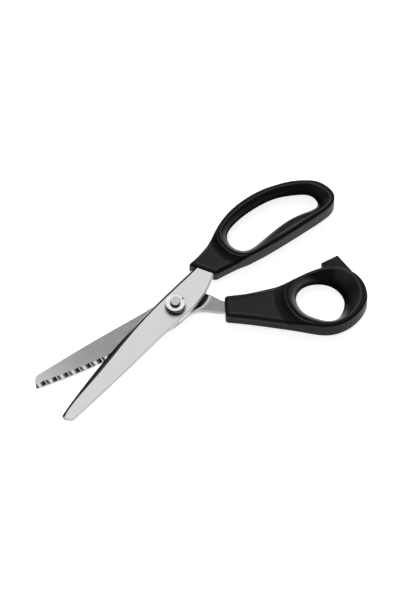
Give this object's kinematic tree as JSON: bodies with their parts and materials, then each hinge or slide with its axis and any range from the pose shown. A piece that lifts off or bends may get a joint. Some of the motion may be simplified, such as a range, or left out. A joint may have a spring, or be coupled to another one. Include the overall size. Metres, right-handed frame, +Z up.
{
  "type": "pinking shears",
  "caption": "Dressmaker's pinking shears with wave-cut meshing teeth, a bolted pivot and moulded finger and thumb bows.",
  "frame": {"origin": "on the pivot axis, in the plane the shears rest on, which is the flat underside of the pivot bolt's head", "axes": "+Z up along the pivot axis, from the bolt's head to the nut; +X towards the bows along the bisector of the two cutting edges, so the blade tips point along -X"},
  "size_m": [0.2317, 0.1085, 0.0165],
  "materials": {
    "blade_steel": "satin ground, bright bevels",
    "pivot_steel": "turned, bright nickel plated",
    "bow_plastic": "semi-gloss moulded black"
  },
  "bodies": {
    "rear_half": {"rear_blade": "blade_steel", "lower_handle": "bow_plastic", "pivot_bolt": "pivot_steel", "flat_washer": "pivot_steel", "spring_washer": "pivot_steel", "pivot_nut": "pivot_steel"},
    "front_half": {"front_blade": "blade_steel", "upper_handle": "bow_plastic"}
  },
  "joints": [
    {"name": "blade_pivot", "type": "hinge", "parent": "rear_half", "child": "front_half", "pos_m": [0, 0, 0.007], "axis": [0, 0, 1], "range_deg": [-15, 32]}
  ]
}
